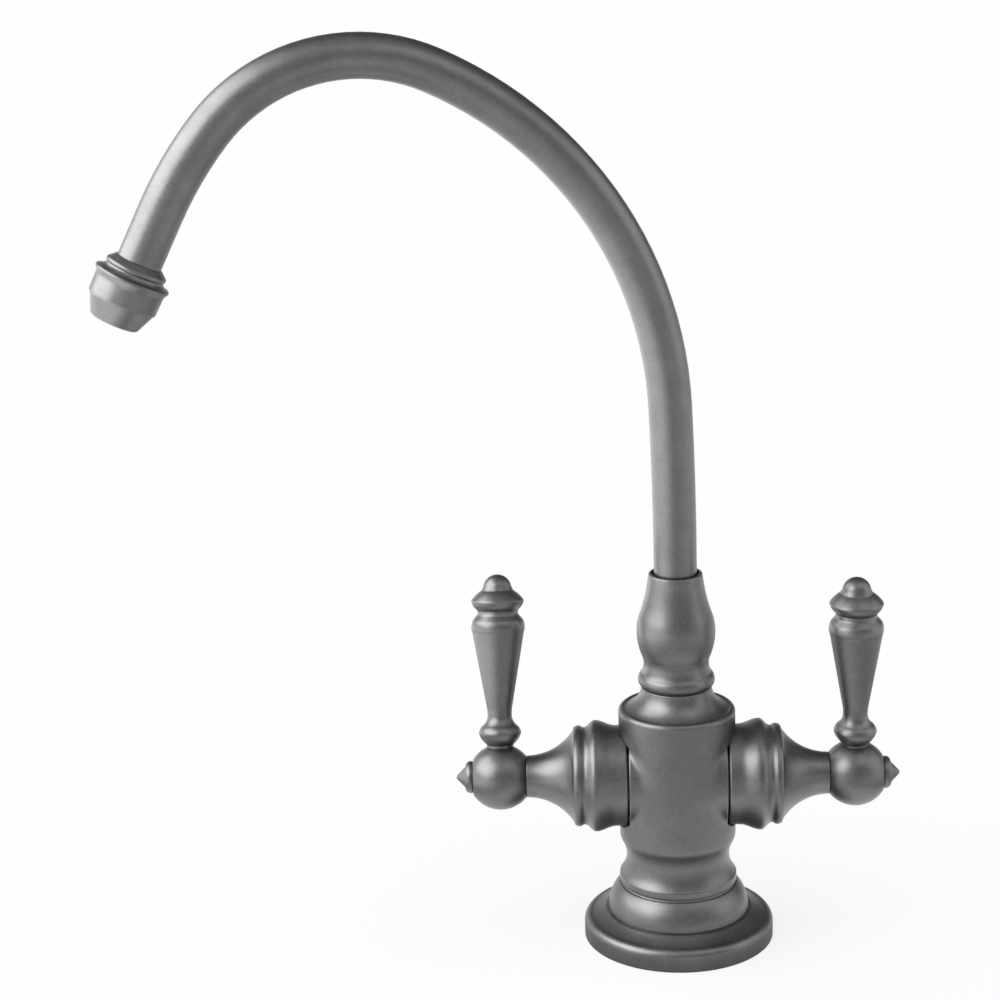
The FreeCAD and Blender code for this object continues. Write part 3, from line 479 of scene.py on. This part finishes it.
def upright(name, radius, height, centre):
    """A hollow shape on an upright axis.

    Point (row, column) lies at the row's height, turned by the column's share of a full turn
    about the centre, at the radius that the array gives for the two.
    """
    turn = np.linspace(0, 2 * math.pi, radius.shape[1], endpoint=False)
    x = centre[0] + radius * np.cos(turn)
    y = centre[1] + radius * np.sin(turn)
    return woven(name, x, y, np.broadcast_to(height[:, None], radius.shape))


def on_arm(name, side, radius, station):
    """A hollow shape on the hot or the cold arm's axis, which runs level from the body's axis.

    Point (row, column) lies at its station along the arm, turned by the column's share of a full
    turn about the arm, at its radius.
    """
    way = {"hot": -1, "cold": 1}[side]
    height = next(j["pos_m"][2] for j in frame["joints"] if j["name"] == side + "_handle")
    turn = np.linspace(0, 2 * math.pi, ARM_COLUMNS, endpoint=False)
    shape = np.broadcast_shapes(radius.shape, station.shape, turn.shape)
    x = np.broadcast_to(way * station, shape)
    y = np.broadcast_to(way * radius * np.cos(turn), shape)
    z = np.broadcast_to(height + radius * np.sin(turn), shape)
    return woven(name, x, y, z)


def moulding(turns):
    """Stations and radii along an outline that eases from one turning point to the next.

    Between two turning points the radius follows half a wave of the cosine, so the outline is
    level at each and has no corner.
    """
    share = np.linspace(0, 1, MOULDING_ROWS, endpoint=False)
    ease = (1 - np.cos(math.pi * share)) / 2
    start, change = turns[:-1], np.diff(turns, axis=0)
    station = start[:, :1] + share * change[:, :1]
    radius = start[:, 1:] + ease * change[:, 1:]
    return np.append(station, turns[-1, 0]) * MM, np.append(radius, turns[-1, 1]) * MM


def dress(piece, slot, *nodes):
    """Give a new piece of the valve its finish, and let it stand for CAD nodes."""
    piece.data.materials.append(finishes[slot])
    if nodes:
        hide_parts(*nodes)
    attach(piece, "valve")


def shank():
    """The hollow shank with the thread that its nut climbs. The bore's two rows close the wall."""
    low, high = (corner.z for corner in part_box("threaded_shank"))
    height = rows_between(low, high, SHANK_PITCH)
    outside = threaded(height, low, high, SHANK_CREST, SHANK_PITCH)
    bore = np.full((2, THREAD_COLUMNS), SHANK_BORE)
    piece = upright(
        "shank_thread", np.concatenate([outside, bore]), np.append(height, [high, low]), (0, 0),
    )
    dress(piece, "plain_brass", "threaded_shank")


def connector(side):
    """A supply connector: thread below, hexagon above, and a bore with a stop for the tail.

    The hexagon's radius is half its width across flats over the cosine of the turn from the
    middle of the nearest flat, capped by a 30 degree chamfer at the top and bottom.
    """
    node = side + "_inlet_connector"
    lowest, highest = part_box(node)
    centre = ((lowest.x + highest.x) / 2, (lowest.y + highest.y) / 2)
    shoulder = lowest.z + CONNECTOR_THREAD_LENGTH
    stop = shoulder - CONNECTOR_STOP
    screw = rows_between(lowest.z, shoulder, CONNECTOR_PITCH)
    thread = threaded(screw, lowest.z, shoulder, CONNECTOR_CREST, CONNECTOR_PITCH)
    turn = np.linspace(0, 2 * math.pi, THREAD_COLUMNS, endpoint=False)
    from_flat = turn % (math.pi / 3) - math.pi / 6
    flat = CONNECTOR_ACROSS_FLATS / 2
    grip = np.linspace(shoulder, highest.z, HEXAGON_ROWS)
    from_end = np.minimum(grip - shoulder, highest.z - grip)[:, None]
    hexagon = np.minimum(flat / np.cos(from_flat), flat + from_end * CHAMFER_SLOPE)
    inside = np.array([CONNECTOR_SOCKET, CONNECTOR_SOCKET, CONNECTOR_BORE, CONNECTOR_BORE])
    inside = np.repeat(inside[:, None], THREAD_COLUMNS, axis=1)
    radius = np.concatenate([thread, hexagon, inside])
    height = np.concatenate([screw, grip, [highest.z, stop, stop, lowest.z]])
    piece = upright(side + "_connector_thread", radius, height, centre)
    dress(piece, "plain_brass", node)


def flange():
    """The flange turned about the body's axis: rim, quarter-circle rounding and a hollow land.

    The land rises from the rounding to the body's seat. It lies lower than a straight line
    between the two by the sag times the share of the way gone times the share left.
    """
    low, high = (corner.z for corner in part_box("base_flange"))
    turn = np.linspace(0, math.pi / 2, FLANGE_ROWS)
    rim = FLANGE_RADIUS - FLANGE_ROUNDING * (1 - np.cos(turn))
    rim_height = FLANGE_SIDE + FLANGE_ROUNDING * np.sin(turn)
    share = np.linspace(0, 1, FLANGE_ROWS)[1:]
    land_radius = rim[-1] + share * (FLANGE_SEAT_RADIUS - rim[-1])
    sag = FLANGE_SAG * share * (1 - share)
    land_height = rim_height[-1] + share * (high - rim_height[-1]) - sag
    under = [
        (SPIGOT_RADIUS, low), (SPIGOT_RADIUS, 0), (RECESS_INNER, 0), (RECESS_INNER, RECESS_DEPTH),
        (RECESS_OUTER, RECESS_DEPTH), (RECESS_OUTER, 0), (FLANGE_RADIUS, 0),
    ]
    radius = np.concatenate([[r for r, z in under], rim, land_radius, [FLANGE_BORE, FLANGE_BORE]])
    height = np.concatenate([[z for r, z in under], rim_height, land_height, [high, low]])
    radius = np.repeat(radius[:, None], FLANGE_COLUMNS, axis=1)
    dress(upright("flange_plate", radius, height, (0, 0)), "pewter_plate", "base_flange")


def bonnet(side):
    """A bonnet turned about its arm: collar, bead, cove and edge, then a trumpet to the neck.

    The moulding ends in a quarter of an ellipse round the edge. The trumpet is a circle's arc
    that runs level into the neck. Its radius is the neck's plus the circle's less the root of
    the circle squared less the distance from the neck squared.
    """
    node = side + "_bonnet"
    neck = max(abs(corner.x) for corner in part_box(node))
    station, radius = moulding(MOULDING)
    run = neck - TRUMPET_STATION
    fall = TRUMPET_RADIUS - NECK_RADIUS
    circle = (run ** 2 + fall ** 2) / (2 * fall)
    along = np.linspace(TRUMPET_STATION, neck, TRUMPET_ROWS)
    flare = NECK_RADIUS + circle - np.sqrt(circle ** 2 - (neck - along) ** 2)
    turn = np.linspace(0, math.pi / 2, EDGE_ROWS)
    edge = station[-1] + EDGE_WIDTH * np.sin(turn)
    rounded = radius[-1] - EDGE_DROP * (1 - np.cos(turn))
    hollow = [neck, HOLLOW_STATION, HOLLOW_STATION, SOCKET_STATION, SOCKET_STATION, COLLAR_STATION]
    bore = [NECK_BORE, NECK_BORE, HOLLOW_RADIUS, HOLLOW_RADIUS, SOCKET_RADIUS, SOCKET_RADIUS]
    stations = np.concatenate([[COLLAR_STATION], station[:-1], edge, along, hollow])
    radii = np.concatenate([[radius[0] - COLLAR_EASE], radius[:-1], rounded, flare, bore])
    piece = on_arm(side + "_bonnet_bell", side, radii[:, None], stations[:, None])
    dress(piece, "pewter_plate", node)


def land(side):
    """The round land that stands out of the barrel and meets a bonnet's collar.

    Round the arm it is a cylinder, and at each station the barrel's wall lies at the barrel's
    half chord over the turn's cosine. The land's radius is the greater of the two, plus the
    square of what the blend exceeds their difference by over four blends, so that it leaves the
    barrel and reaches the cylinder without a corner. Before that it goes on under the barrel's
    wall, sinking by the square of the distance.
    """
    turn = np.linspace(0, 2 * math.pi, ARM_COLUMNS, endpoint=False)
    across = np.maximum(np.abs(np.cos(turn)), LEAST_COSINE)
    leaves = (LAND_RADIUS + LAND_BLEND) * across
    first = np.sqrt(np.maximum(BARREL_RADIUS ** 2 - leaves ** 2, 0))
    first = np.minimum(first, LAND_STATION - LAND_SHORTEST)
    share = np.linspace(0, 1, LAND_ROWS)[:, None]
    hidden = np.linspace(OVERLAP, 0, OVERLAP_ROWS)[:-1, None]
    station = np.concatenate([first - hidden, first + share * (LAND_STATION - first)])
    wall = np.sqrt(BARREL_RADIUS ** 2 - station ** 2) / across
    excess = np.maximum(LAND_BLEND - np.abs(wall - LAND_RADIUS), 0)
    outside = np.maximum(wall, LAND_RADIUS) + excess ** 2 / (4 * LAND_BLEND)
    sunk = np.maximum(first - station, 0) ** 2 / OVERLAP_SINK
    outside = np.minimum(outside, LAND_RADIUS + LAND_LIMIT * LAND_BLEND) - sunk
    inside = np.full((2, ARM_COLUMNS), SOCKET_RADIUS + LAND_CLEARANCE)
    radius = np.concatenate([outside, inside])
    station = np.concatenate([station, station[-1:], station[:1]])
    dress(on_arm(side + "_bonnet_land", side, radius, station), "pewter_plate")


shank()
flange()
for side in ("hot", "cold"):
    connector(side)
    bonnet(side)
    land(side)


def camera():
    """The photograph's camera: where it stands, how far it looks down and its small roll."""
    ahead = math.cos(CAMERA_PITCH)
    forward = Vector((
        -math.sin(CAMERA_YAW) * ahead, math.cos(CAMERA_YAW) * ahead, -math.sin(CAMERA_PITCH),
    ))
    level = forward.cross(Vector((0, 0, 1))).normalized()
    above = level.cross(forward)
    right = level * math.cos(CAMERA_ROLL) - above * math.sin(CAMERA_ROLL)
    up = level * math.sin(CAMERA_ROLL) + above * math.cos(CAMERA_ROLL)
    lens = bpy.data.cameras.new("camera")
    lens.sensor_width = SENSOR_WIDTH
    lens.lens = FOCAL_LENGTH
    lens.clip_start = NEAREST
    lens.clip_end = FARTHEST
    made = bpy.data.objects.new("camera", lens)
    made.matrix_world = Matrix((
        (right.x, up.x, -forward.x, CAMERA_PLACE[0]),
        (right.y, up.y, -forward.y, CAMERA_PLACE[1]),
        (right.z, up.z, -forward.z, CAMERA_PLACE[2]),
        (0, 0, 0, 1),
    ))
    bpy.context.scene.collection.objects.link(made)
    bpy.context.scene.camera = made


def shown(tree):
    """1 for a ray from the camera, off gloss or through glass, else 0."""
    path = add(tree, "ShaderNodeLightPath")
    gloss = add(
        tree, "ShaderNodeMath", {"operation": "MAXIMUM"},
        i0=path.outputs["Is Camera Ray"], i1=path.outputs["Is Glossy Ray"],
    )
    glass = add(
        tree, "ShaderNodeMath", {"operation": "MAXIMUM"},
        i0=gloss.outputs[0], i1=path.outputs["Is Transmission Ray"],
    )
    return glass.outputs[0]


def floor():
    """White paper at the deck's height. Its own glow is for what sees it, not for the light."""
    paper, tree = material("white_paper")
    matt = add(tree, "ShaderNodeBsdfDiffuse", Color=linear(FLOOR_COLOUR))
    # The glow differs by ray, so it isn't sampled as a lamp.
    paper.cycles.emission_sampling = "NONE"
    # Painted light and shade that shows only in the metal: the paper is painted brighter close round
    # the object, at arm's length, beside the key softbox and a little on the right, and painted
    # darker at its foot, in between and where it ends.
    place = add(tree, "ShaderNodeTexCoord").outputs["Object"]
    radial = add(tree, "ShaderNodeVectorMath", {"operation": "LENGTH"}, i0=place)
    split = add(tree, "ShaderNodeSeparateXYZ", Vector=place)
    distance = {"away": radial.outputs["Value"], "across": split.outputs["X"]}
    painted_pool = 0.0
    for measured, start, end, before, after in FLOOR_PAINTED_POOLS:
        patch = add(
            tree, "ShaderNodeMapRange", {"interpolation_type": "SMOOTHSTEP"},
            Value=distance[measured], From_Min=start, From_Max=end, To_Min=before, To_Max=after,
        )
        painted_pool = add(tree, "ShaderNodeMath", i0=patch.outputs["Result"], i1=painted_pool).outputs[0]
    path = add(tree, "ShaderNodeLightPath")
    in_metal = add(
        tree, "ShaderNodeMath", {"operation": "MULTIPLY"},
        i0=path.outputs["Is Glossy Ray"], i1=painted_pool,
    )
    lift = add(
        tree, "ShaderNodeMath", {"operation": "MULTIPLY_ADD"},
        i0=shown(tree), i1=FLOOR_GLOW, i2=in_metal.outputs[0],
    )
    glow = add(tree, "ShaderNodeEmission", Color=linear("#ffffff"), Strength=lift.outputs[0])
    both = add(tree, "ShaderNodeAddShader", i0=matt.outputs[0], i1=glow.outputs[0])
    add(tree, "ShaderNodeOutputMaterial", Surface=both.outputs[0])
    mesh = bpy.data.meshes.new("floor")
    far = FLOOR_REACH
    level = -FLOOR_GAP
    corners = [(-far, -far, level), (far, -far, level), (far, far, level), (-far, far, level)]
    mesh.from_pydata(corners, [], [(0, 1, 2, 3)])
    mesh.materials.append(paper)
    made = bpy.data.objects.new("floor", mesh)
    bpy.context.scene.collection.objects.link(made)


def studio():
    """A white room, dark high up behind the object and dim in front, round the camera.

    The camera itself sees plain white, so the shades show only in the metal and in the light.
    """
    world = bpy.data.worlds.new("studio")
    world.use_nodes = True
    tree = world.node_tree
    tree.nodes.clear()
    way = add(tree, "ShaderNodeTexCoord").outputs["Generated"]
    part = add(tree, "ShaderNodeSeparateXYZ", Vector=way)
    smooth = {"interpolation_type": "SMOOTHSTEP"}
    # The shade behind hangs lower on the right than on the left.
    hang = add(
        tree, "ShaderNodeMath", {"operation": "MULTIPLY_ADD"},
        i0=part.outputs["X"], i1=SHADE_LEAN, i2=part.outputs["Z"],
    )
    high = add(
        tree, "ShaderNodeMapRange", smooth,
        Value=hang.outputs[0], From_Min=SHADE_START, From_Max=SHADE_FULL,
    )
    behind = add(
        tree, "ShaderNodeMapRange", smooth,
        Value=part.outputs["Y"], From_Min=BEHIND_START, From_Max=BEHIND_FULL, To_Max=1.0 - BACK,
    )
    # The dim part in front reaches round to the right.
    facing = add(
        tree, "ShaderNodeMath", {"operation": "MULTIPLY_ADD"},
        i0=part.outputs["X"], i1=FRONT_LEAN, i2=part.outputs["Y"],
    )
    front = add(
        tree, "ShaderNodeMapRange", smooth,
        Value=facing.outputs[0], From_Min=FRONT_START, From_Max=FRONT_FULL,
        To_Min=1.0, To_Max=FRONT,
    )
    shade = add(
        tree, "ShaderNodeMath", {"operation": "MULTIPLY"},
        i0=high.outputs["Result"], i1=behind.outputs["Result"],
    )
    dim = add(
        tree, "ShaderNodeMath", {"operation": "SUBTRACT"},
        i0=front.outputs["Result"], i1=shade.outputs[0],
    )
    room = add(tree, "ShaderNodeBackground", Color=linear("#ffffff"), Strength=dim.outputs[0])
    white = add(tree, "ShaderNodeBackground", Color=linear("#fefefe"), Strength=1.0)
    path = add(tree, "ShaderNodeLightPath")
    both = add(
        tree, "ShaderNodeMixShader",
        i0=path.outputs["Is Camera Ray"], i1=room.outputs[0], i2=white.outputs[0],
    )
    add(tree, "ShaderNodeOutputWorld", Surface=both.outputs[0])
    bpy.context.scene.world = world


def softbox(name, azimuth, elevation, distance, width, height, power):
    """A soft lamp that faces the body from a distance in metres.

    Its azimuth is in degrees to the left of the front, and its elevation in degrees up. It shows
    in the metal but leaves the paper evenly lit.
    """
    turn, tilt = math.radians(azimuth), math.radians(elevation)
    lamp = bpy.data.lights.new(name, "AREA")
    lamp.shape = "RECTANGLE"
    lamp.size = width
    lamp.size_y = height
    lamp.energy = power
    made = bpy.data.objects.new(name, lamp)
    level = math.cos(tilt)
    away = Vector((-math.sin(turn) * level, -math.cos(turn) * level, math.sin(tilt)))
    made.location = away * distance + Vector((0, 0, AIM_HEIGHT))
    made.rotation_euler = (-away).to_track_quat("-Z", "Y").to_euler()
    made.visible_diffuse = False
    made.visible_camera = False
    bpy.context.scene.collection.objects.link(made)


camera()
floor()
studio()
softbox("key_softbox", 76, 37, distance=0.65, width=0.86, height=0.55, power=7.6)
softbox("top_softbox", -45, 55, distance=0.9, width=0.6, height=0.4, power=0.9)
softbox("fill_softbox", -90, 22, distance=0.8, width=0.8, height=0.6, power=1.8)
bpy.context.scene.view_settings.view_transform = "Standard"
